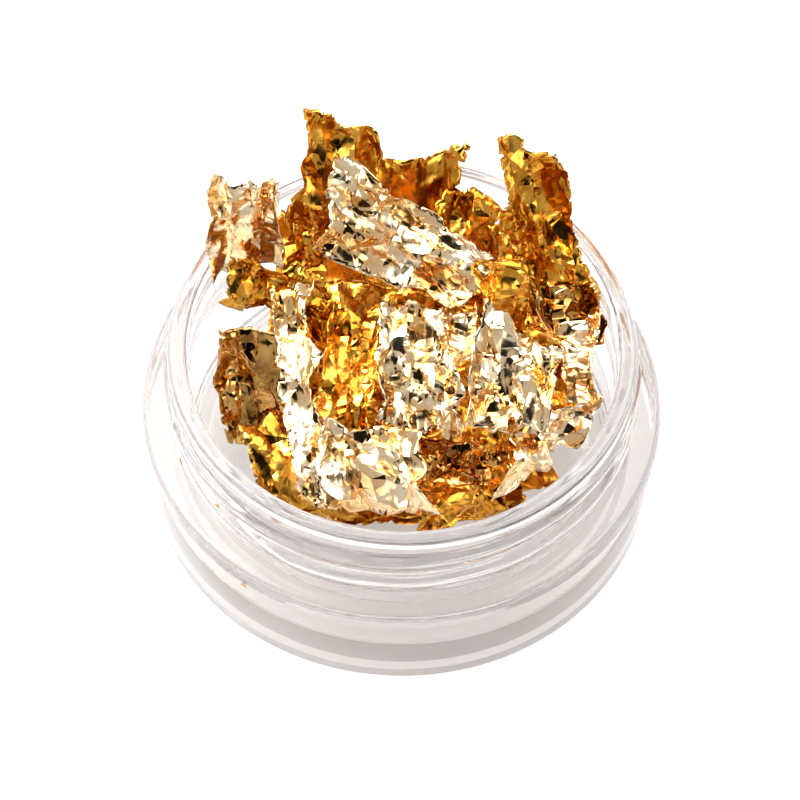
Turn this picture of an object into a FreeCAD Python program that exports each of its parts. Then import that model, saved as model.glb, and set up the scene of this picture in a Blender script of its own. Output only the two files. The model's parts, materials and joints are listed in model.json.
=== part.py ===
import FreeCAD, Part
import math
import os
import random

# A shallow clear screw jar, standing open, heaped with loose crumpled flakes of gold foil.
# Millimetres. The origin is the centre of the foot, on the surface that the jar stands on.
# +Z is up and -Y is the front.

# ---- Driving dimensions of the jar ----
jar_diameter = 30.0         # widest, at the shoulder
jar_height = 12.3           # foot to lip
mouth_radius = 12.3         # inside of the cup
cup_floor = 2.0             # height of the floor inside
neck_pitch = 2.0            # thread rise per turn
thread_height = 0.55        # crest above the neck

# ---- Driving dimensions of the foil ----
foil_thickness = 0.18       # stiffened: the real leaf is far thinner
foil_gap = 0.12             # least air between one flake and the next
cell = 0.3                  # grid on which the flakes are laid on each other
most_rise = 1.0             # a flake that would stand higher than this on the pile is eased back
leaf_reach = 12.2           # no flake goes further out than this

# ---- Worked-out dimensions ----
shoulder_radius = jar_diameter / 2
skirt_radius = shoulder_radius - 0.45
groove_radius = skirt_radius - 0.2
neck_radius = shoulder_radius - 1.9
lip_radius = neck_radius + 0.3
recess_radius = mouth_radius + 0.4
recess_depth = 0.6
groove_low = 3.65
groove_high = 3.95
shoulder_height = 7.0
thread_start = 8.05
thread_start_deg = 225.0
thread_turns = 1.42
thread_width = 1.1


def rounded_outline(corners):
    """A closed wire in the XZ plane through (radius, height, rounding) corners."""
    points = [FreeCAD.Vector(radius, 0, height) for radius, height, rounding in corners]
    edges = []
    starts = []
    ends = []
    middles = []
    for index, point in enumerate(points):
        rounding = corners[index][2]
        to_last = (points[index - 1] - point).normalize()
        to_next = (points[(index + 1) % len(points)] - point).normalize()
        half_angle = to_last.getAngle(to_next) / 2
        reach = rounding / math.tan(half_angle)
        bisector = (to_last + to_next).normalize()
        starts.append(point + to_last * reach)
        ends.append(point + to_next * reach)
        middles.append(point + bisector * (rounding / math.sin(half_angle) - rounding))
    for index, point in enumerate(points):
        if corners[index][2] > 0:
            edges.append(Part.Arc(starts[index], middles[index], ends[index]).toShape())
        following = starts[(index + 1) % len(points)]
        if ends[index].distanceToPoint(following) > 1e-6:
            edges.append(Part.makeLine(ends[index], following))
    return Part.Wire(edges)


def turned(corners):
    """The solid of revolution about Z of an outline."""
    face = Part.Face(rounded_outline(corners))
    return face.revolve(FreeCAD.Vector(0, 0, 0), FreeCAD.Vector(0, 0, 1), 360)


def screw_thread():
    """One raised helical thread with sloping flanks, rooted just inside the neck."""
    root = neck_radius - 0.1
    crest = neck_radius + thread_height
    half_root = thread_width / 2
    half_crest = thread_width / 6
    outline = [(root, -half_root), (crest, -half_crest), (crest, half_crest), (root, half_root)]
    points = [FreeCAD.Vector(radius, 0, height) for radius, height in outline]
    section = Part.makePolygon(points + points[:1])
    path = Part.makeHelix(neck_pitch, neck_pitch * thread_turns, neck_radius)
    thread = Part.Wire(path.Edges).makePipeShell([section], True, True)
    thread.translate(FreeCAD.Vector(0, 0, thread_start))
    thread.rotate(FreeCAD.Vector(0, 0, 0), FreeCAD.Vector(0, 0, 1), thread_start_deg)
    return thread


def jar():
    """The one-piece moulding: foot ring, skirt, groove, shoulder, screw neck, lip and cup."""
    corners = [
        (0, recess_depth, 0),
        (recess_radius, recess_depth, 0.2),
        (recess_radius + 0.3, 0, 0.15),
        (skirt_radius, 0, 0.3),
        (skirt_radius, groove_low, 0.1),
        (groove_radius, groove_low + 0.1, 0),
        (groove_radius, groove_high - 0.1, 0),
        (skirt_radius, groove_high, 0.1),
        (shoulder_radius, shoulder_height - 0.9, 0.5),
        (shoulder_radius - 0.1, shoulder_height, 0.45),
        (neck_radius, shoulder_height + 0.2, 0.25),
        (neck_radius, jar_height - 1.2, 0.1),
        (lip_radius, jar_height - 0.9, 0.1),
        (lip_radius, jar_height, 0.45),
        (mouth_radius, jar_height, 0.3),
        (mouth_radius - 0.1, cup_floor, 1.2),
        (0, cup_floor, 0),
    ]
    return turned(corners).fuse(screw_thread())


def quad_point(corners, across, along):
    """A point inside four corners given as near-left, near-right, far-right, far-left."""
    near = corners[0] * (1 - across) + corners[1] * across
    far = corners[3] * (1 - across) + corners[2] * across
    return near * (1 - along) + far * along


def placed_corners(corners, turn, spread):
    """Four corners turned about their middle and spread in plan, at their own heights."""
    corners = [FreeCAD.Vector(*corner) for corner in corners]
    middle = (corners[0] + corners[1] + corners[2] + corners[3]) * 0.25
    spin = FreeCAD.Rotation(FreeCAD.Vector(0, 0, 1), turn)
    placed = []
    for corner in corners:
        arm = spin.multVec(corner - middle)
        placed.append(middle + FreeCAD.Vector(arm.x * spread, arm.y * spread, arm.z))
    return placed


def crumpled_grid(corners, pleats, relief, bow, seed):
    """Rows of points over four corners: pleated across, bowed along, with torn uneven edges."""
    chance = random.Random(seed)
    normal = (corners[1] - corners[0]).cross(corners[3] - corners[0]).normalize()
    columns = 2 * pleats + 3
    width = corners[0].distanceToPoint(corners[1])
    length = corners[0].distanceToPoint(corners[3])
    rows = max(4, min(9, round(length / 1.1)))
    step_across = 1.0 / (columns - 1)
    step_along = 1.0 / (rows - 1)
    ridge = [(-1) ** index * chance.uniform(0.5, 1.0) for index in range(columns)]
    grid = []
    for row in range(rows):
        line = []
        for column in range(columns):
            across = column * step_across
            along = row * step_along
            if column in (0, columns - 1):
                inward_across = chance.uniform(0.0, 0.5) * (1 if column == 0 else -1)
            else:
                inward_across = chance.uniform(-0.22, 0.22)
            if row in (0, rows - 1):
                inward_along = chance.uniform(0.0, 0.45) * (1 if row == 0 else -1)
            else:
                inward_along = chance.uniform(-0.22, 0.22)
            across += inward_across * step_across
            along += inward_along * step_along
            lift = relief * ridge[column] * chance.uniform(0.6, 1.2) + chance.uniform(-0.3, 0.3) * relief
            lift += bow * 4 * along * (1 - along)
            line.append(quad_point(corners, across, along) + normal * lift)
        grid.append(line)
    return grid


def grid_normal(grid, row, column):
    """The mean direction square to the sheet at one point of the grid."""
    before = grid[max(row - 1, 0)][column]
    after = grid[min(row + 1, len(grid) - 1)][column]
    left = grid[row][max(column - 1, 0)]
    right = grid[row][min(column + 1, len(grid[0]) - 1)]
    return (right - left).cross(after - before).normalize()


def sheet_triangles(grid):
    """The closed skin of a thin sheet on the grid, as triangles of points."""
    rows = len(grid)
    columns = len(grid[0])
    half = foil_thickness / 2
    upper = []
    lower = []
    for row in range(rows):
        normals = [grid_normal(grid, row, column) for column in range(columns)]
        upper.append([grid[row][column] + normals[column] * half for column in range(columns)])
        lower.append([grid[row][column] - normals[column] * half for column in range(columns)])
    triangles = []
    for row in range(rows - 1):
        for column in range(columns - 1):
            for side, flip in ((upper, False), (lower, True)):
                a = side[row][column]
                b = side[row][column + 1]
                c = side[row + 1][column + 1]
                d = side[row + 1][column]
                if (row + column) % 2:
                    pair = [(a, b, c), (a, c, d)]
                else:
                    pair = [(a, b, d), (b, c, d)]
                triangles += [triangle[::-1] if flip else triangle for triangle in pair]
    border = [(0, column) for column in range(columns)]
    border += [(row, columns - 1) for row in range(1, rows)]
    border += [(rows - 1, column) for column in range(columns - 2, -1, -1)]
    border += [(row, 0) for row in range(rows - 2, 0, -1)]
    for index, (row, column) in enumerate(border):
        next_row, next_column = border[(index + 1) % len(border)]
        low = lower[row][column]
        next_low = lower[next_row][next_column]
        high = upper[row][column]
        next_high = upper[next_row][next_column]
        triangles += [(low, next_low, next_high), (low, next_high, high)]
    return triangles


def columns_under(triangles):
    """The lowest and highest height of a skin over each cell of the laying grid."""
    reach = {}
    for a, b, c in triangles:
        steps = max(2, int(max(a.distanceToPoint(b), b.distanceToPoint(c), c.distanceToPoint(a)) / 0.12))
        for first in range(steps + 1):
            for second in range(steps + 1 - first):
                third = steps - first - second
                spot = (a * first + b * second + c * third) * (1.0 / steps)
                key = (round(spot.x / cell), round(spot.y / cell))
                low, high = reach.get(key, (spot.z, spot.z))
                reach[key] = (min(low, spot.z), max(high, spot.z))
    return reach


def rise_over(pile, reach):
    """How far a skin must rise to clear the pile."""
    rise = 0.0
    for key, (low, high) in reach.items():
        rise = max(rise, pile.get(key, cup_floor) + foil_gap - low)
    return rise


def ease_onto(pile, corners, turn, spread, shape):
    """A flake's skin, turned and spread as far as it still lies low on the pile and in the cup."""
    for share in (1.0, 0.8, 0.6, 0.4, 0.2, 0.0):
        placed = placed_corners(corners, turn * share, 1 + (spread - 1) * share)
        triangles = sheet_triangles(crumpled_grid(placed, *shape))
        reach = columns_under(triangles)
        farthest = max(math.hypot(point.x, point.y) for triangle in triangles for point in triangle)
        if farthest <= leaf_reach and rise_over(pile, reach) <= most_rise:
            break
    return triangles, reach


def lay_on(pile, reach):
    """Lays a skin on the pile, which then takes it in; returns how far it had to rise."""
    rise = rise_over(pile, reach)
    for (x, y), (low, high) in reach.items():
        for side_x in (-1, 0, 1):
            for side_y in (-1, 0, 1):
                key = (x + side_x, y + side_y)
                pile[key] = max(pile.get(key, cup_floor), high + rise)
    return rise


def solid_from(triangles, rise):
    """A solid bounded by flat triangles, raised by one amount."""
    up = FreeCAD.Vector(0, 0, rise)
    faces = []
    for triangle in triangles:
        corners = [corner + up for corner in triangle]
        faces.append(Part.Face(Part.makePolygon(corners + corners[:1])))
    solid = Part.Solid(Part.Shell(faces))
    if solid.Volume < 0:
        solid.reverse()
    return solid


# ---- The foil flakes, from the bottom of the cup to the top of the heap ----
# Each has a name and its corners near-left, near-right, far-right and far-left, then its
# pleats, the depth of its creases, how far it bows along its length, its turn in degrees
# about its own middle, and how much wider than its corners it spreads in plan.
flakes = [
    ("bed_flake_low", ((-5.5, -5.0, 2.9), (5.5, -5.2, 3.0), (6.0, 5.0, 3.2), (-5.6, 5.4, 3.0)),
     3, 0.35, 0.4, 0, 1.0),
    ("bed_flake_left", ((-7.4, -3.8, 4.6), (-0.6, -5.0, 4.4), (0.2, 4.6, 4.8), (-7.2, 4.4, 5.4)),
     2, 0.4, 0.5, 0, 1.0),
    ("bed_flake_right", ((0.8, -5.6, 4.6), (7.4, -4.0, 5.2), (7.2, 4.4, 5.2), (1.0, 5.2, 4.6)),
     2, 0.4, 0.5, 0, 1.0),
    ("bed_flake_back", ((-7.5, 0.6, 6.4), (7.6, 0.4, 6.4), (6.4, 8.4, 7.2), (-6.8, 8.2, 7.4)),
     3, 0.45, 0.4, 0, 1.0),
    ("bed_flake_front", ((-6.2, -7.4, 6.4), (6.6, -7.6, 6.2), (8.0, -0.6, 6.6), (-7.0, -0.4, 6.8)),
     3, 0.45, 0.4, 0, 1.0),
    ("bed_flake_upper", ((-6.0, -5.6, 8.0), (8.8, -5.8, 8.2), (9.0, 5.6, 8.8), (-5.6, 5.2, 8.6)),
     3, 0.45, 0.4, 0, 1.0),
    ("left_upright_flake", ((-10.2, -3.0, 6.9), (-6.8, -3.8, 7.2), (-6.0, 0.8, 12.4), (-10.2, 1.0, 12.6)),
     1, 0.3, 0.2, 5, 1.05),
    ("bed_flake_rear", ((-7.0, 3.2, 10.2), (8.6, 2.8, 10.4), (7.0, 8.6, 12.0), (-6.6, 8.8, 12.2)),
     4, 0.4, 0.2, 0, 1.0),
    ("bed_flake_top", ((-5.0, -5.2, 9.6), (8.2, -5.4, 9.8), (8.6, 2.2, 10.6), (-5.0, 2.4, 10.4)),
     4, 0.4, 0.2, 0, 1.0),
    ("front_left_flake", ((-7.2, -9.0, 9.4), (-3.4, -10.4, 9.6), (-4.0, -4.4, 11.4), (-8.8, -4.2, 11.0)),
     1, 0.35, 0.4, 12, 1.05),
    ("front_dark_flake", ((-1.4, -9.2, 9.8), (5.4, -9.4, 9.6), (5.8, -5.8, 11.2), (-0.8, -5.8, 11.2)),
     2, 0.3, 0.2, -8, 1.12),
    ("front_amber_flake", ((0.6, -11.6, 9.8), (5.4, -10.3, 9.8), (5.6, -8.0, 11.2), (0.4, -8.4, 11.2)),
     1, 0.35, 0.2, 10, 1.05),
    ("front_right_flake", ((5.0, -10.2, 10.4), (10.4, -5.4, 10.8), (10.8, -3.6, 11.8), (6.4, -5.0, 12.2)),
     1, 0.25, 0.4, -6, 1.05),
    ("middle_band_flake", ((-5.0, -1.6, 11.4), (5.0, -2.2, 11.4), (5.6, 2.8, 12.8), (-4.6, 3.4, 13.0)),
     3, 0.35, 0.2, 8, 1.15),
    ("back_amber_flake", ((-1.8, 6.8, 12.4), (2.8, 7.0, 12.2), (2.9, 9.8, 17.4), (-1.6, 9.6, 16.8)),
     1, 0.25, 0.1, 8, 1.15),
    ("peak_flake", ((-6.8, 5.6, 14.0), (-1.9, 6.0, 13.4), (-2.3, 9.2, 18.4), (-5.3, 9.6, 21.0)),
     2, 0.4, 0.2, 6, 1.15),
    ("back_right_flake", ((1.6, 4.4, 13.2), (5.4, 4.0, 12.8), (5.0, 7.6, 15.8), (2.0, 7.8, 16.2)),
     1, 0.35, 0.2, -12, 1.2),
    ("right_spire_flake", ((6.0, 3.9, 12.8), (10.6, 3.4, 12.6), (8.2, 8.0, 19.2), (5.5, 8.5, 20.4)),
     1, 0.4, 0.2, 6, 1.12),
    ("left_spire_flake", ((-10.6, 3.9, 13.2), (-7.2, 4.0, 13.0), (-6.9, 6.6, 19.0), (-11.0, 5.8, 18.8)),
     2, 0.35, 0.1, -6, 1.05),
    ("left_back_flake", ((-6.6, 3.9, 12.8), (-4.4, 3.7, 12.6), (-4.0, 5.2, 14.4), (-6.2, 5.3, 14.8)),
     1, 0.3, 0.1, 10, 1.3),
    ("champagne_flake", ((-5.2, 4.4, 15.0), (2.2, 0.8, 13.4), (4.8, 4.0, 14.6), (-3.8, 7.8, 18.4)),
     2, 0.4, 0.3, -5, 1.15),
    ("left_amber_flake", ((-10.2, 1.6, 12.4), (-5.4, 1.4, 12.6), (-4.9, 3.2, 15.0), (-9.4, 3.2, 14.8)),
     2, 0.25, 0.2, -8, 1.12),
    ("right_amber_flake", ((3.6, -0.4, 12.4), (7.0, -0.6, 12.2), (7.2, 3.3, 14.6), (4.2, 3.2, 14.4)),
     1, 0.35, 0.2, -12, 1.25),
    ("right_dark_flake", ((7.8, 0.6, 12.4), (10.8, 0.0, 12.2), (11.0, 3.0, 13.8), (7.9, 3.1, 14.4)),
     1, 0.3, 0.1, 12, 1.1),
    ("right_jagged_flake", ((9.2, -4.4, 12.0), (10.7, -4.0, 12.0), (11.5, 0.6, 13.4), (9.3, 0.7, 13.8)),
     0, 0.3, 0.2, 0, 1.05),
    ("right_fan_flake", ((3.7, -6.0, 12.4), (8.4, -6.6, 12.2), (8.8, -2.2, 13.1), (4.3, 0.6, 14.4)),
     2, 0.35, 0.3, -16, 1.22),
    ("middle_pleated_flake", ((-4.2, -7.0, 11.6), (-1.7, -7.2, 11.4), (-1.7, 0.2, 13.6), (-4.2, 0.4, 13.8)),
     1, 0.35, 0.3, -6, 1.2),
    ("middle_crinkled_flake", ((-1.2, -6.2, 12.0), (3.2, -6.4, 12.0), (3.7, 0.4, 13.8), (-1.2, 0.8, 14.0)),
     2, 0.4, 0.4, 12, 1.22),
    ("white_strip_flake", ((-6.2, -8.8, 11.2), (-4.7, -9.2, 11.2), (-4.6, 1.0, 14.4), (-6.8, 1.2, 14.0)),
     0, 0.4, 0.5, 7, 1.1),
    ("front_ridged_flake", ((-4.4, -10.8, 10.4), (2.2, -11.2, 10.4), (0.8, -6.6, 12.6), (-4.2, -6.4, 12.6)),
     1, 0.5, 0.2, -14, 1.08),
]


def stray_speck(radius, angle_deg, height, size):
    """A tiny three-cornered scrap of foil standing just clear of the jar."""
    angle = math.radians(angle_deg)
    centre = FreeCAD.Vector(radius * math.cos(angle), radius * math.sin(angle), height)
    around = FreeCAD.Vector(-math.sin(angle), math.cos(angle), 0)
    up = FreeCAD.Vector(0, 0, 1)
    outward = FreeCAD.Vector(math.cos(angle), math.sin(angle), 0)
    corners = [centre - around * size * 0.6, centre + around * size * 0.5, centre + up * size * 0.8]
    face = Part.Face(Part.makePolygon(corners + corners[:1]))
    return face.extrude(outward * 0.06)


def stray_specks():
    """Scraps of foil clinging to the outside of the neck and the collar."""
    scraps = [
        (neck_radius + thread_height + 0.05, 205, 8.6, 0.45),
        (neck_radius + thread_height + 0.05, 222, 9.3, 0.3),
        (neck_radius + thread_height + 0.05, 160, 10.4, 0.3),
        (neck_radius + thread_height + 0.05, 2, 9.6, 0.3),
        (shoulder_radius + 0.03, 235, 6.0, 0.35),
    ]
    return Part.makeCompound([stray_speck(*scrap) for scrap in scraps])


def main():
    os.makedirs("parts", exist_ok=True)
    jar().exportStep("parts/jar.step")
    stray_specks().exportStep("parts/stray_specks.step")
    pile = {}
    for number, (name, corners, pleats, relief, bow, turn, spread) in enumerate(flakes):
        shape = (pleats, relief, bow, 11 + number)
        triangles, reach = ease_onto(pile, corners, turn, spread, shape)
        rise = lay_on(pile, reach)
        print(name, "rises", round(rise, 2))
        solid_from(triangles, rise).exportStep("parts/" + name + ".step")


main()
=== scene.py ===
import json
import math
import random

import bmesh
import bpy
import numpy as np
from mathutils import Matrix, Vector


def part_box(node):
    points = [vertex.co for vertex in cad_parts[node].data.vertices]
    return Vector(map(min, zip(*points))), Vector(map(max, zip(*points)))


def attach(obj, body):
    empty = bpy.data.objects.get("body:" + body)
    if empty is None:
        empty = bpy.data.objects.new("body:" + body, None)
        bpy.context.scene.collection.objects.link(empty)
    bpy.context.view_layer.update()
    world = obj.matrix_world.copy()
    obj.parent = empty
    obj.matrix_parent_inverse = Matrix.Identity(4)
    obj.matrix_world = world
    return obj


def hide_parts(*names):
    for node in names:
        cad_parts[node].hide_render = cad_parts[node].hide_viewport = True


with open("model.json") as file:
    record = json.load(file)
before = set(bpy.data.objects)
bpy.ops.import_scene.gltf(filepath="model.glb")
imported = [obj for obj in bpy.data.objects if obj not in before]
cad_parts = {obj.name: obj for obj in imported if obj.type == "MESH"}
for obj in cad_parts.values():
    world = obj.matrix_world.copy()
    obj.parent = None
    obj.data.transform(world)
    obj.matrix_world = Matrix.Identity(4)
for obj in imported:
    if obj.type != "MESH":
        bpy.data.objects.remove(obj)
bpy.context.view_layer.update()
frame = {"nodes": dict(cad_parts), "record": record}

# Lengths in this script are metres. MM turns a length given in millimetres into them.
MM = 0.001

# ---- Foil sizes ----
CAD_FOIL_THICKNESS = 0.18 * MM    # the stiffened flakes of the frame
FOIL_THICKNESS = 0.02 * MM        # what is shown
FACET = 0.3 * MM                  # longest edge of a leaf's triangles
SHARP_DEG = 16.0                  # creases sharper than this show as edges
SPREAD = 1.14                     # how far the ragged leaf reaches past its stiffened flake
LOBES = ((2, 0.05), (3, 0.07), (5, 0.06), (9, 0.04))    # bumps round the outline, and their size
LEAF_REACH = 11.9 * MM            # below the rim, leaf stays inside this radius
RIM_CLEAR = 12.7 * MM             # above this height leaf may hang out over the rim
OUTER_REACH = 14.6 * MM
SPLIT_SPREAD = (0.42, 0.58)       # where along its length an edge is split
BORDER_SHAKE = 2.5                # how much more a leaf's border is shaken than its middle
BITES = 2                         # rounds of tearing
BITE_CHANCE = 0.16
CREASE_FADE = 1.5                 # how steeply a crease runs out at its ends
SAME_POINT = 1e-6                 # points closer than this are one
TONE_SCALE = 420.0                # patches of tone, about 2 mm across
WRINKLE_SCALE = (2400, 500, 900)  # fine wrinkles, drawn out along one direction
WRINKLE_TURN = (0.2, 0.1, 0.35)


def material(name):
    """A new node material, its node tree and its Principled shader."""
    made = bpy.data.materials.new(name)
    made.use_nodes = True
    return made, made.node_tree, made.node_tree.nodes["Principled BSDF"]


def add_node(tree, kind, **values):
    """A node of one kind, with its settings and unlinked inputs set by name."""
    node = tree.nodes.new(kind)
    for key, value in values.items():
        if hasattr(node, key):
            setattr(node, key, value)
        else:
            node.inputs[key.replace("_", " ")].default_value = value
    return node


def colour_ramp(tree, factor, stops):
    """A colour ramp fed by factor, with stops of (position, colour)."""
    ramp = tree.nodes.new("ShaderNodeValToRGB")
    while len(ramp.color_ramp.elements) < len(stops):
        ramp.color_ramp.elements.new(0.5)
    for element, (position, colour) in zip(ramp.color_ramp.elements, stops):
        element.position = position
        element.color = (*colour, 1.0)
    tree.links.new(factor, ramp.inputs["Fac"])
    return ramp


# ---- Foil flakes ----
def middle_sheet(node):
    """The points and triangles halfway between the two faces of a stiffened flake."""
    mesh = frame["nodes"][node].data
    bm = bmesh.new()
    bm.from_mesh(mesh)
    bmesh.ops.remove_doubles(bm, verts=bm.verts, dist=SAME_POINT)
    points = np.array([v.co for v in bm.verts])
    triangles = [[v.index for v in f.verts] for f in bm.faces]
    bm.free()
    gaps = np.linalg.norm(points[:, None] - points[None], axis=2)
    partner = np.abs(gaps - CAD_FOIL_THICKNESS).argmin(axis=1)
    middle = {}
    sheet_points = []
    place = {}
    for index, other in enumerate(partner):
        key = frozenset((index, int(other)))
        if key not in middle:
            middle[key] = len(sheet_points)
            sheet_points.append((points[index] + points[other]) / 2)
        place[index] = middle[key]
    faces = {}
    for triangle in triangles:
        corners = [place[index] for index in triangle]
        if len(set(corners)) == 3:
            faces.setdefault(frozenset(corners), corners)
    return np.array(sheet_points), list(faces.values())


def split_long_edges(points, triangles, longest, chance):
    """Halves the longest edges, a little off centre, until none is longer than the given length."""
    points = [tuple(point) for point in points]
    waiting = [tuple(triangle) for triangle in triangles]
    done = []
    halves = {}
    while waiting:
        a, b, c = waiting.pop()
        lengths = [math.dist(points[p], points[q]) for p, q in ((a, b), (b, c), (c, a))]
        most = max(lengths)
        if most <= longest:
            done.append((a, b, c))
            continue
        if most == lengths[1]:
            a, b, c = b, c, a
        elif most == lengths[2]:
            a, b, c = c, a, b
        edge = (min(a, b), max(a, b))
        if edge not in halves:
            share = chance.uniform(*SPLIT_SPREAD)
            halves[edge] = len(points)
            first, second = points[edge[0]], points[edge[1]]
            points.append(tuple(p + (q - p) * share for p, q in zip(first, second)))
        middle = halves[edge]
        waiting += [(a, middle, c), (middle, b, c)]
    return close_gaps(points, done, halves)


def close_gaps(points, triangles, halves):
    """Splits each triangle again wherever its neighbour has halved their common edge."""
    waiting = list(triangles)
    done = []
    while waiting:
        a, b, c = waiting.pop()
        for p, q, r in ((a, b, c), (b, c, a), (c, a, b)):
            middle = halves.get((min(p, q), max(p, q)))
            if middle is not None:
                waiting += [(p, middle, r), (middle, q, r)]
                break
        else:
            done.append((a, b, c))
    return np.array(points), done


def ragged(points, centre, axes, chance):
    """Grows a sheet in its own plane by uneven lobes, so that its outline is irregular."""
    flat = (points - centre) @ axes[:2].T
    angle = np.arctan2(flat[:, 1], flat[:, 0])
    grow = np.full(len(points), SPREAD - 1.0)
    for lobes, size in LOBES:
        grow += size * np.sin(lobes * angle + chance.uniform(0, 2 * math.pi))
    return points + (flat * grow[:, None]) @ axes[:2]


def keep_clear(points):
    """Pulls leaf in so that it stays inside the cup wall, or over the rim above it."""
    radius = np.hypot(points[:, 0], points[:, 1])
    allowed = np.where(points[:, 2] < RIM_CLEAR, LEAF_REACH, OUTER_REACH)
    share = np.minimum(1.0, allowed / np.maximum(radius, MM))
    points[:, 0] *= share
    points[:, 1] *= share
    return points


def crease(points, flat, normals, chance, count, depth, width, reach, stray):
    """Lifts points into straight ridges and valleys, lying within stray of the leaf's length."""
    low = flat.min(axis=0)
    span = flat.max(axis=0) - low
    lift = np.zeros(len(points))
    for _ in range(count):
        angle = chance.uniform(-stray, stray)
        along = np.array([math.cos(angle), math.sin(angle)])
        across = np.array([-along[1], along[0]])
        centre = low + span * np.array([chance.random(), chance.random()])
        half_length = reach * chance.uniform(0.3, 1.0)
        half_width = width * chance.uniform(0.4, 1.2)
        height = depth * chance.choice((-1, 1)) * chance.uniform(0.4, 1.0) * half_width / width
        offset = flat - centre
        beside = np.abs(offset @ across) / half_width
        beyond = np.abs(offset @ along) / half_length
        lift += height * np.clip(1 - beside, 0, 1) * np.clip(CREASE_FADE * (1 - beyond), 0, 1)
    return points + normals * lift[:, None]


def build_flake(node, looks):
    """One crumpled leaf on the middle of its stiffened flake."""
    chance = random.Random("leaf " + node)
    points, triangles = middle_sheet(node)
    points, triangles = split_long_edges(points, triangles, FACET * looks["facet"], chance)
    bm = bmesh.new()
    verts = [bm.verts.new(point) for point in points]
    for triangle in triangles:
        bm.faces.new([verts[index] for index in triangle])
    bmesh.ops.recalc_face_normals(bm, faces=bm.faces)
    bm.verts.ensure_lookup_table()
    bm.normal_update()
    points = np.array([v.co for v in bm.verts])
    normals = np.array([v.normal for v in bm.verts])
    centre = points.mean(axis=0)
    axes = np.linalg.svd(points - centre, full_matrices=False)[2]
    points = ragged(points, centre, axes, chance)
    flat = (points - centre) @ axes[:2].T
    stray = math.radians(looks["stray"])
    for count, depth, width, reach in looks["creases"]:
        points = crease(points, flat, normals, chance, count,
                        depth * MM, width * MM, reach * MM, stray)
    points = keep_clear(points)
    shake = looks["shake"] * MM
    for vert, point in zip(bm.verts, points):
        jitter = Vector([chance.gauss(0, shake) for _ in range(3)])
        if vert.is_boundary:
            jitter *= BORDER_SHAKE
        vert.co = Vector(point) + jitter
    tear(bm, chance)
    mesh = bpy.data.meshes.new(node)
    bm.to_mesh(mesh)
    bm.free()
    leaf = bpy.data.objects.new(node + "_leaf", mesh)
    bpy.context.scene.collection.objects.link(leaf)
    mesh.shade_smooth()
    mesh.set_sharp_from_angle(angle=math.radians(SHARP_DEG))
    solid = leaf.modifiers.new("thickness", "SOLIDIFY")
    solid.thickness = FOIL_THICKNESS
    solid.offset = 0.0
    return leaf


def tear(bm, chance):
    """Takes bites out of the border, so that it looks torn."""
    for _ in range(BITES):
        edge_faces = [face for face in bm.faces if any(edge.is_boundary for edge in face.edges)]
        bitten = [face for face in edge_faces if chance.random() < BITE_CHANCE]
        bmesh.ops.delete(bm, geom=bitten, context="FACES")
    loose = [vert for vert in bm.verts if not vert.link_faces]
    bmesh.ops.delete(bm, geom=loose, context="VERTS")


def foil_material(name, deep, bright, roughness):
    """Thin gold leaf: warm metal with uneven tone and roughness, and fine wrinkles."""
    made, tree, shader = material(name)
    place = tree.nodes.new("ShaderNodeTexCoord")
    tone = add_node(tree, "ShaderNodeTexNoise", Scale=TONE_SCALE, Detail=5.0, Roughness=0.65)
    tree.links.new(place.outputs["Object"], tone.inputs["Vector"])
    ramp = colour_ramp(tree, tone.outputs["Fac"], [(0.38, deep), (0.6, bright)])
    tree.links.new(ramp.outputs["Color"], shader.inputs["Base Color"])
    shader.inputs["Metallic"].default_value = 1.0
    rough = add_node(tree, "ShaderNodeMapRange")
    rough.inputs["From Min"].default_value = 0.3
    rough.inputs["From Max"].default_value = 0.7
    rough.inputs["To Min"].default_value = roughness * 0.6
    rough.inputs["To Max"].default_value = roughness * 1.7
    tree.links.new(tone.outputs["Fac"], rough.inputs["Value"])
    tree.links.new(rough.outputs["Result"], shader.inputs["Roughness"])
    drawn_out = add_node(tree, "ShaderNodeMapping")
    drawn_out.inputs["Scale"].default_value = WRINKLE_SCALE
    drawn_out.inputs["Rotation"].default_value = WRINKLE_TURN
    tree.links.new(place.outputs["Object"], drawn_out.inputs["Vector"])
    facets = add_node(tree, "ShaderNodeTexVoronoi", Scale=1.0)
    tree.links.new(drawn_out.outputs["Vector"], facets.inputs["Vector"])
    bump = add_node(tree, "ShaderNodeBump", Strength=0.22, Distance=0.00010)
    tree.links.new(facets.outputs["Distance"], bump.inputs["Height"])
    tree.links.new(bump.outputs["Normal"], shader.inputs["Normal"])
    return made


# How a leaf is crumpled. facet is a share of FACET, shake is in millimetres, and stray is how far
# its creases turn from its length, in degrees. Creases are rows of (count, depth, width, reach),
# in millimetres but for the count.
CRINKLED = {
    "facet": 1.0, "shake": 0.004, "stray": 45,
    "creases": [(12, 0.8, 1.3, 5.0), (22, 0.4, 0.7, 3.0), (30, 0.16, 0.4, 1.6)],
}
PLEATED = {
    "facet": 1.0, "shake": 0.003, "stray": 14,
    "creases": [(14, 0.7, 0.9, 7.0), (20, 0.35, 0.55, 4.5), (18, 0.12, 0.35, 2.5)],
}
SMOOTH = {
    "facet": 1.3, "shake": 0.002, "stray": 50,
    "creases": [(9, 0.8, 1.4, 5.0), (14, 0.32, 0.8, 2.8), (12, 0.12, 0.45, 1.4)],
}
SMALL = {
    "facet": 0.8, "shake": 0.003, "stray": 60,
    "creases": [(8, 0.35, 0.6, 2.0), (14, 0.14, 0.3, 1.2)],
}
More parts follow.
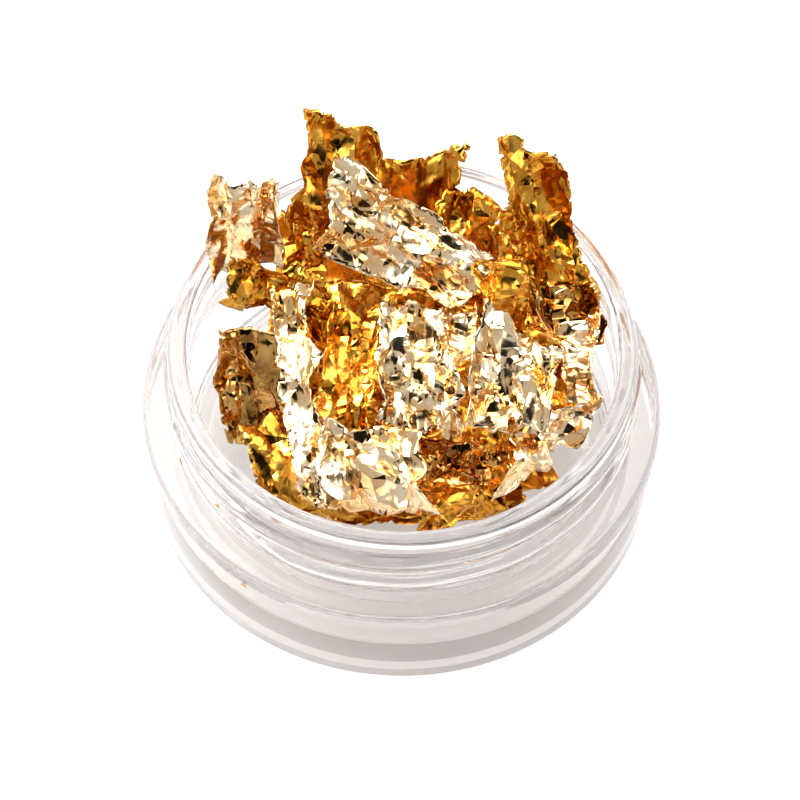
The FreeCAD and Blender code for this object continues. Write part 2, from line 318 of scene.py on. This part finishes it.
# Every flake that isn't named here is crinkled.
LOOKS = {
    "front_right_flake": SMOOTH,
    "front_ridged_flake": SMOOTH,
    "left_upright_flake": SMOOTH,
    "back_amber_flake": SMOOTH,
    "left_back_flake": SMALL,
    "right_dark_flake": SMOOTH,
    "left_spire_flake": PLEATED,
    "white_strip_flake": PLEATED,
    "middle_pleated_flake": PLEATED,
    "right_spire_flake": PLEATED,
    "champagne_flake": PLEATED,
    "right_fan_flake": PLEATED,
    "front_left_flake": PLEATED,
}

# The three leaf materials are one gold foil in three colours: champagne is painted highlight, amber
# is painted interreflection between the folds, and dark is painted reflection of the dark studio.
foil = {
    "foil_champagne": foil_material(
        "leaf_champagne_painted_highlight", deep=(0.86, 0.52, 0.2), bright=(0.97, 0.8, 0.55), roughness=0.12),
    "foil_amber": foil_material(
        "leaf_amber_painted_interreflection", deep=(0.5, 0.19, 0.012), bright=(0.85, 0.45, 0.07), roughness=0.15),
    "foil_dark": foil_material(
        "leaf_dark_painted_reflection", deep=(0.3, 0.13, 0.03), bright=(0.8, 0.46, 0.14), roughness=0.07),
}
slots = {part["node"]: part["material_slot"] for part in frame["record"]["subparts"]}
for body, nodes in frame["record"]["behaviour"]["bodies"].items():
    for node in nodes:
        if "_flake" not in node:
            continue
        leaf = build_flake(node, LOOKS.get(node, CRINKLED))
        leaf.data.materials.append(foil[slots[node]])
        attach(leaf, body)
        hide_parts(node)


# ---- Jar ----
jar_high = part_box("jar")[1]
SHOULDER_RADIUS = jar_high.x
JAR_HEIGHT = jar_high.z
SKIRT_RADIUS = SHOULDER_RADIUS - 0.45 * MM
GROOVE_RADIUS = SKIRT_RADIUS - 0.2 * MM
NECK_RADIUS = SHOULDER_RADIUS - 1.9 * MM
LIP_RADIUS = NECK_RADIUS + 0.3 * MM
MOUTH_RADIUS = 12.3 * MM
RECESS_RADIUS = MOUTH_RADIUS + 0.4 * MM
RECESS_DEPTH = 0.6 * MM
CUP_FLOOR = 2.0 * MM
SHOULDER_HEIGHT = 7.0 * MM
GROOVE_MIDDLE = 3.8 * MM
THREAD_PITCH = 2.0 * MM
THREAD_START = 8.05 * MM
THREAD_START_DEG = 225.0
THREAD_TURNS = 1.42
THREAD_HEIGHT = 0.55 * MM
THREAD_WIDTH = 1.1 * MM
THREAD_FADE = 0.05            # share of a turn over which the thread runs out at each end
THREAD_FLANK = 1.6            # how steeply it rises from the neck
JAR_SEGMENTS = 360
ARC_PIECES = 8
OUTLINE_STEP = 0.12 * MM
ON_AXIS = 1e-9


def rounded_profile(corners, step):
    """Points along an outline of (radius, height, rounding) corners, no further apart than step."""
    points = []
    for index, (radius, height, rounding) in enumerate(corners):
        here = Vector((radius, height))
        if index in (0, len(corners) - 1) or rounding == 0:
            points.append(here)
            continue
        to_last = (Vector(corners[index - 1][:2]) - here).normalized()
        to_next = (Vector(corners[index + 1][:2]) - here).normalized()
        half_angle = to_last.angle(to_next) / 2
        reach = rounding / math.tan(half_angle)
        centre = here + (to_last + to_next).normalized() * rounding / math.sin(half_angle)
        start = here + to_last * reach - centre
        end = here + to_next * reach - centre
        turn = start.angle_signed(end)
        for part in range(ARC_PIECES + 1):
            arm = start.copy()
            arm.rotate(Matrix.Rotation(-turn * part / ARC_PIECES, 2))
            points.append(centre + arm)
    filled = [points[0]]
    for point in points[1:]:
        gap = (point - filled[-1]).length
        pieces = max(1, math.ceil(gap / step))
        last = filled[-1]
        for part in range(1, pieces + 1):
            filled.append(last.lerp(point, part / pieces))
    return filled


def thread_lift(angle, height):
    """How far the screw thread stands out of the neck at an angle and height."""
    turn = (math.degrees(angle) - THREAD_START_DEG) % 360.0 / 360.0
    lift = 0.0
    for lap in range(math.ceil(THREAD_TURNS) + 1):
        along = turn + lap
        if not 0 <= along <= THREAD_TURNS:
            continue
        fade = min(1.0, along / THREAD_FADE, (THREAD_TURNS - along) / THREAD_FADE)
        away = abs(height - THREAD_START - THREAD_PITCH * along) / (THREAD_WIDTH / 2)
        if away < 1.0:
            lift = max(lift, fade * THREAD_HEIGHT * min(1.0, THREAD_FLANK * (1.0 - away)))
    return lift


def build_jar():
    """The clear moulding, turned about Z, with its thread raised and its underside matte."""
    corners = [
        (0, RECESS_DEPTH, 0),
        (RECESS_RADIUS, RECESS_DEPTH, 0.2 * MM),
        (RECESS_RADIUS + 0.3 * MM, 0, 0.15 * MM),
        (SKIRT_RADIUS, 0, 0.3 * MM),
        (SKIRT_RADIUS, GROOVE_MIDDLE - 0.15 * MM, 0.1 * MM),
        (GROOVE_RADIUS, GROOVE_MIDDLE - 0.05 * MM, 0),
        (GROOVE_RADIUS, GROOVE_MIDDLE + 0.05 * MM, 0),
        (SKIRT_RADIUS, GROOVE_MIDDLE + 0.15 * MM, 0.1 * MM),
        (SHOULDER_RADIUS, SHOULDER_HEIGHT - 0.9 * MM, 0.5 * MM),
        (SHOULDER_RADIUS - 0.1 * MM, SHOULDER_HEIGHT, 0.45 * MM),
        (NECK_RADIUS, SHOULDER_HEIGHT + 0.2 * MM, 0.25 * MM),
        (NECK_RADIUS, JAR_HEIGHT - 1.2 * MM, 0.1 * MM),
        (LIP_RADIUS, JAR_HEIGHT - 0.9 * MM, 0.1 * MM),
        (LIP_RADIUS, JAR_HEIGHT, 0.45 * MM),
        (MOUTH_RADIUS, JAR_HEIGHT, 0.3 * MM),
        (MOUTH_RADIUS - 0.1 * MM, CUP_FLOOR, 1.2 * MM),
        (0, CUP_FLOOR, 0),
    ]
    profile = rounded_profile(corners, OUTLINE_STEP)
    bm = bmesh.new()
    rings = []
    for radius, height in profile:
        if radius < ON_AXIS:
            rings.append([bm.verts.new((0, 0, height))])
            continue
        on_neck = radius < NECK_RADIUS + 0.2 * MM and radius > MOUTH_RADIUS + 0.3 * MM
        on_neck = on_neck and SHOULDER_HEIGHT < height < JAR_HEIGHT - 0.5 * MM
        ring = []
        for step in range(JAR_SEGMENTS):
            angle = 2 * math.pi * step / JAR_SEGMENTS
            out = radius + (thread_lift(angle, height) if on_neck else 0.0)
            ring.append(bm.verts.new((out * math.cos(angle), out * math.sin(angle), height)))
        rings.append(ring)
    for lower, upper in zip(rings, rings[1:]):
        for step in range(JAR_SEGMENTS):
            after = (step + 1) % JAR_SEGMENTS
            if len(lower) == 1:
                bm.faces.new((lower[0], upper[after], upper[step]))
            elif len(upper) == 1:
                bm.faces.new((lower[step], lower[after], upper[0]))
            else:
                bm.faces.new((lower[step], lower[after], upper[after], upper[step]))
    bmesh.ops.recalc_face_normals(bm, faces=bm.faces)
    for face in bm.faces:
        middle = face.calc_center_median()
        under = middle.z < RECESS_DEPTH + 0.05 * MM
        face.material_index = 1 if under and middle.xy.length < SKIRT_RADIUS - 0.3 * MM else 0
    mesh = bpy.data.meshes.new("jar_moulding")
    bm.to_mesh(mesh)
    bm.free()
    mesh.shade_smooth()
    jar = bpy.data.objects.new("jar_moulding", mesh)
    bpy.context.scene.collection.objects.link(jar)
    return jar


PLASTIC_IOR = 1.59


def plastic_material():
    """Clear polystyrene with faint flow marks."""
    made, tree, shader = material("clear_plastic")
    shader.inputs["Base Color"].default_value = (0.975, 0.96, 0.962, 1)
    shader.inputs["Transmission Weight"].default_value = 0.95
    shader.inputs["IOR"].default_value = PLASTIC_IOR
    shader.inputs["Roughness"].default_value = 0.05
    place = tree.nodes.new("ShaderNodeTexCoord")
    waves = add_node(tree, "ShaderNodeTexNoise", Scale=700.0, Detail=3.0)
    tree.links.new(place.outputs["Object"], waves.inputs["Vector"])
    bump = add_node(tree, "ShaderNodeBump", Strength=0.15, Distance=0.00005)
    tree.links.new(waves.outputs["Fac"], bump.inputs["Height"])
    tree.links.new(bump.outputs["Normal"], shader.inputs["Normal"])
    return made


def matte_base_material():
    """The same plastic where the tool left the underside finely matte."""
    made, tree, shader = material("matte_plastic")
    shader.inputs["Transmission Weight"].default_value = 0.45
    shader.inputs["IOR"].default_value = PLASTIC_IOR
    shader.inputs["Roughness"].default_value = 0.6
    place = tree.nodes.new("ShaderNodeTexCoord")
    grain = add_node(tree, "ShaderNodeTexNoise", Scale=1500.0, Detail=4.0)
    tree.links.new(place.outputs["Object"], grain.inputs["Vector"])
    ramp = colour_ramp(tree, grain.outputs["Fac"],
                       [(0.3, (0.95, 0.9, 0.87)), (0.7, (0.98, 0.95, 0.93))])
    tree.links.new(ramp.outputs["Color"], shader.inputs["Base Color"])
    return made


jar = build_jar()
jar.data.materials.append(plastic_material())
jar.data.materials.append(matte_base_material())
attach(jar, "jar")
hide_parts("jar")

# The specks keep their CAD shape and are made of the same leaf, in its amber copy, whose colour is
# painted interreflection.
frame["nodes"]["stray_specks"].data.materials.clear()
frame["nodes"]["stray_specks"].data.materials.append(foil["foil_amber"])


# ---- Floor ----
FLOOR_HALF = 0.6
FLOOR_DROP = 0.05 * MM        # keeps the floor clear of the foot ring


def build_floor():
    """A plain pale floor, partly lit from below like a light table."""
    bm = bmesh.new()
    bmesh.ops.create_grid(bm, x_segments=8, y_segments=8, size=FLOOR_HALF)
    mesh = bpy.data.meshes.new("floor")
    bm.to_mesh(mesh)
    bm.free()
    floor = bpy.data.objects.new("floor", mesh)
    floor.location.z = -FLOOR_DROP
    bpy.context.scene.collection.objects.link(floor)
    made, _, shader = material("pale_floor")
    shader.inputs["Base Color"].default_value = (0.35, 0.345, 0.34, 1)
    shader.inputs["Emission Color"].default_value = (1, 0.98, 0.965, 1)
    shader.inputs["Emission Strength"].default_value = 0.9
    shader.inputs["Roughness"].default_value = 0.9
    shader.inputs["Specular IOR Level"].default_value = 0.0
    mesh.materials.append(made)
    return floor


build_floor()


# ---- Light ----
# Each soft box and flag is (azimuth, elevation, inner angle, outer angle), in degrees, with
# azimuth from +X. The first flag stands over the front, the side that the picture is taken from.
ROOM_LEVEL = 0.6
BOX_LEVEL = 3.4
FLAG_LEVEL = 0.01
SOFT_BOXES = [(150, 50, 24, 28), (35, 55, 20, 24), (95, 42, 12, 15), (-60, 30, 10, 13)]
FLAGS = [(-90, 60, 21, 25), (5, 30, 12, 14), (90, 6, 10, 16), (-140, 35, 12, 14), (80, 78, 8, 10)]


def toward(tree, direction, azimuth, elevation, inner, outer):
    """1 within the inner angle of a fixed direction of the room, falling to 0 at the outer."""
    around, above = math.radians(azimuth), math.radians(elevation)
    level = math.cos(above)
    aim = (level * math.cos(around), level * math.sin(around), math.sin(above))
    dot = tree.nodes.new("ShaderNodeVectorMath")
    dot.operation = "DOT_PRODUCT"
    dot.inputs[1].default_value = aim
    tree.links.new(direction, dot.inputs[0])
    reach = tree.nodes.new("ShaderNodeMapRange")
    reach.interpolation_type = "SMOOTHSTEP"
    reach.inputs["From Min"].default_value = math.cos(math.radians(outer))
    reach.inputs["From Max"].default_value = math.cos(math.radians(inner))
    tree.links.new(dot.outputs["Value"], reach.inputs["Value"])
    return reach.outputs["Result"]


def blend_value(tree, share, below, above):
    """A value going from below to above as share goes from 0 to 1."""
    mix = tree.nodes.new("ShaderNodeMix")
    mix.data_type = "FLOAT"
    tree.links.new(share, mix.inputs["Factor"])
    for value, socket in ((below, mix.inputs["A"]), (above, mix.inputs["B"])):
        if isinstance(value, float):
            socket.default_value = value
        else:
            tree.links.new(value, socket)
    return mix.outputs["Result"]


def studio_world():
    """A white studio: a pale room, bright soft boxes and black flags for the foil to mirror."""
    world = bpy.data.worlds.new("studio")
    bpy.context.scene.world = world
    world.use_nodes = True
    tree = world.node_tree
    background = tree.nodes["Background"]
    direction = tree.nodes.new("ShaderNodeTexCoord").outputs["Generated"]
    level = ROOM_LEVEL
    for patches, brightness in ((SOFT_BOXES, BOX_LEVEL), (FLAGS, FLAG_LEVEL)):
        for patch in patches:
            share = toward(tree, direction, *patch)
            level = blend_value(tree, share, level, brightness)
    tree.links.new(level, background.inputs["Strength"])
    background.inputs["Color"].default_value = (1.0, 0.99, 0.98, 1)


def area_light(name, place, aim, size, power):
    """A round lamp of one power in watts, aimed at a point."""
    light = bpy.data.lights.new(name, "AREA")
    light.shape = "DISK"
    light.size = size
    light.energy = power
    lamp = bpy.data.objects.new(name, light)
    lamp.location = place
    lamp.rotation_euler = (Vector(aim) - Vector(place)).to_track_quat("-Z", "Y").to_euler()
    bpy.context.scene.collection.objects.link(lamp)


studio_world()
area_light("key", place=(-0.25, 0.15, 0.4), aim=(0, 0, 0.01), size=0.2, power=2.0)

# ---- Camera ----
VIEW_ELEVATION = math.radians(56.17)
VIEW_ROLL = math.radians(1.49)
VIEW_DISTANCE = 0.3
LENS = 233.7
SENSOR_WIDTH = 36
SHIFT = (-0.0015, 0.0102)     # slides the framing without turning the camera
AIM = Vector((0, 0, 6 * MM))


def place_camera():
    """The camera at the picture's viewing angle."""
    camera = bpy.data.objects.new("camera", bpy.data.cameras.new("camera"))
    bpy.context.scene.collection.objects.link(camera)
    back = Vector((0, -math.cos(VIEW_ELEVATION), math.sin(VIEW_ELEVATION)))
    camera.location = AIM + back * VIEW_DISTANCE
    turn = (-back).to_track_quat("-Z", "Y").to_matrix().to_4x4()
    roll = Matrix.Rotation(VIEW_ROLL, 4, "Z")
    camera.matrix_world = Matrix.Translation(camera.location) @ turn @ roll
    camera.data.lens = LENS
    camera.data.sensor_width = SENSOR_WIDTH
    camera.data.shift_x, camera.data.shift_y = SHIFT
    camera.data.clip_start = 0.01
    bpy.context.scene.camera = camera


place_camera()
bpy.context.scene.view_settings.view_transform = "Standard"
